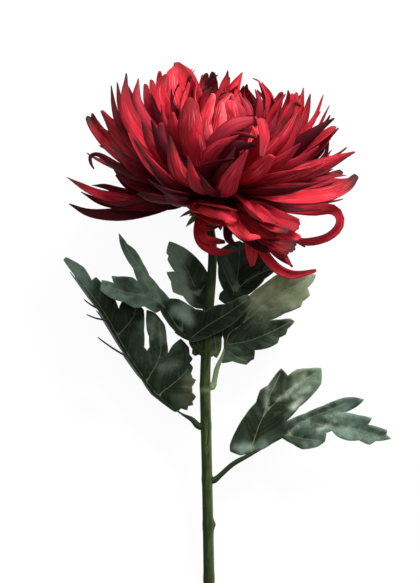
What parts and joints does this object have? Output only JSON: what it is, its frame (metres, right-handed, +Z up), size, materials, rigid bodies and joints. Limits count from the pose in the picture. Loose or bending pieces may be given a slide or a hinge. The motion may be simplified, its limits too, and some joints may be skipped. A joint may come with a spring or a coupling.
{
  "type": "spider chrysanthemum cut flower",
  "caption": "Single cut spider chrysanthemum with a full head of curling petals, a green cup of bracts, a bare stem and lobed leaves, lying on its side",
  "frame": {"origin": "middle of the box's base, on the surface that the flower lies on", "axes": "the stem lies along Y with the bloom at +Y, X is to the right as seen from above with the bloom up, Z is up from the surface"},
  "size_m": [0.173, 0.3011, 0.1266],
  "materials": {
    "petals": "soft matte petal, crimson with darker tips",
    "bracts": "matte green bract",
    "stem": "smooth green stem",
    "leaves": "semi-matte dark green leaf"
  },
  "bodies": {
    "root": {"bloom": "petals", "calyx": "bracts", "stem": "stem", "leaf_lower_right": "leaves", "leaf_lower_left": "leaves", "leaf_upper_left": "leaves", "leaf_back_left": "leaves", "leaf_right": "leaves", "leaf_back_right": "leaves"}
  },
  "joints": []
}
